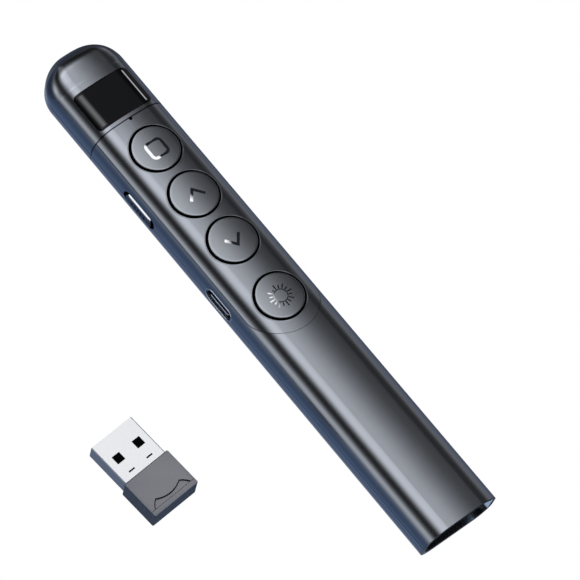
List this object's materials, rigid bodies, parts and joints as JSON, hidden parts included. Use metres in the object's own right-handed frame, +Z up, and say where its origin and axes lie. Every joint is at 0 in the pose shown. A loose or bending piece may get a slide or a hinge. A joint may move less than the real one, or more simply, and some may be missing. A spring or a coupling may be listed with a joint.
{
  "type": "wireless presentation clicker",
  "caption": "Slim handheld presentation clicker with round keys, a small display window, a power slide, a charging port and a loose plug-in receiver with its storage bay.",
  "frame": {"origin": "on the flat back under the middle of the casing, on the table", "axes": "+X along the casing to the nose, +Y to the side with the power slide and the charging port, +Z up through the keys"},
  "size_m": [0.145, 0.0652, 0.013],
  "materials": {
    "casing_satin": "satin gunmetal paint over moulded plastic",
    "key_satin": "satin gunmetal paint over moulded plastic",
    "window_black": "polished smoked acrylic",
    "slide_grey": "satin",
    "port_steel": "drawn and plated",
    "insulator_black": "moulded",
    "switch_white": "moulded",
    "panel_glass": "polished",
    "ribbon_amber": "film",
    "board_green": "solder mask",
    "screw_steel": "plated",
    "chip_black": "moulded",
    "crystal_can": "drawn can",
    "antenna_ceramic": "fired ceramic",
    "led_lens": "clear resin",
    "cell_foil": "laminated foil",
    "foam_black": "closed-cell foam",
    "lead_red": "insulated wire",
    "lead_black": "insulated wire",
    "barrel_brass": "turned",
    "lens_clear": "polished",
    "diode_gold": "plated can",
    "plug_metal": "bright nickel plate",
    "contact_gold": "plated",
    "receiver_navy": "satin"
  },
  "bodies": {
    "casing": {"back_cover": "casing_satin", "upper_casing": "casing_satin", "head_cap": "casing_satin", "key_cover": "casing_satin", "display_window": "window_black", "stop_switch": "switch_white", "up_switch": "switch_white", "down_switch": "switch_white", "light_switch": "switch_white", "display_panel": "panel_glass", "display_flex": "ribbon_amber", "port_shell": "port_steel", "port_tongue": "insulator_black", "slide_switch_body": "port_steel", "main_board": "board_green", "board_screws": "screw_steel", "controller_chip": "chip_black", "crystal": "crystal_can", "motion_sensor": "chip_black", "charger_chip": "chip_black", "chip_antenna": "antenna_ceramic", "indicator_led": "led_lens", "battery_cell": "cell_foil", "battery_foam": "foam_black", "battery_lead_red": "lead_red", "battery_lead_black": "lead_black", "laser_barrel": "barrel_brass", "laser_lens": "lens_clear", "laser_diode": "diode_gold", "laser_lead_red": "lead_red", "laser_lead_black": "lead_black", "receiver_bay": "insulator_black"},
    "stop_key_body": {"stop_key": "key_satin", "stop_switch_plunger": "insulator_black"},
    "up_key_body": {"up_key": "key_satin", "up_switch_plunger": "insulator_black"},
    "down_key_body": {"down_key": "key_satin", "down_switch_plunger": "insulator_black"},
    "light_key_body": {"light_key": "key_satin", "light_switch_plunger": "insulator_black"},
    "power_slide": {"slide_knob": "slide_grey", "slide_switch_lever": "insulator_black"},
    "receiver": {"receiver_housing": "receiver_navy", "receiver_plug_shell": "plug_metal", "receiver_plug_tongue": "insulator_black", "receiver_contacts": "contact_gold", "receiver_board": "board_green", "receiver_chip": "chip_black"}
  },
  "joints": [
    {"name": "stop_key_press", "type": "slide", "parent": "casing", "child": "stop_key_body", "axis": [0, 0, -1], "range_m": [0, 0.0003], "stiffness_N_per_m": 2000},
    {"name": "up_key_press", "type": "slide", "parent": "casing", "child": "up_key_body", "axis": [0, 0, -1], "range_m": [0, 0.0003], "stiffness_N_per_m": 2000},
    {"name": "down_key_press", "type": "slide", "parent": "casing", "child": "down_key_body", "axis": [0, 0, -1], "range_m": [0, 0.0003], "stiffness_N_per_m": 2000},
    {"name": "light_key_press", "type": "slide", "parent": "casing", "child": "light_key_body", "axis": [0, 0, -1], "range_m": [0, 0.0003], "stiffness_N_per_m": 2000},
    {"name": "power_slide_shift", "type": "slide", "parent": "casing", "child": "power_slide", "axis": [1, 0, 0], "range_m": [-0.0009, 0.0009]},
    {"name": "receiver_carry", "type": "slide", "parent": "casing", "child": "receiver", "axis": [-0.9161, -0.3997, 0.0316], "range_m": [0, 0.1201]}
  ]
}
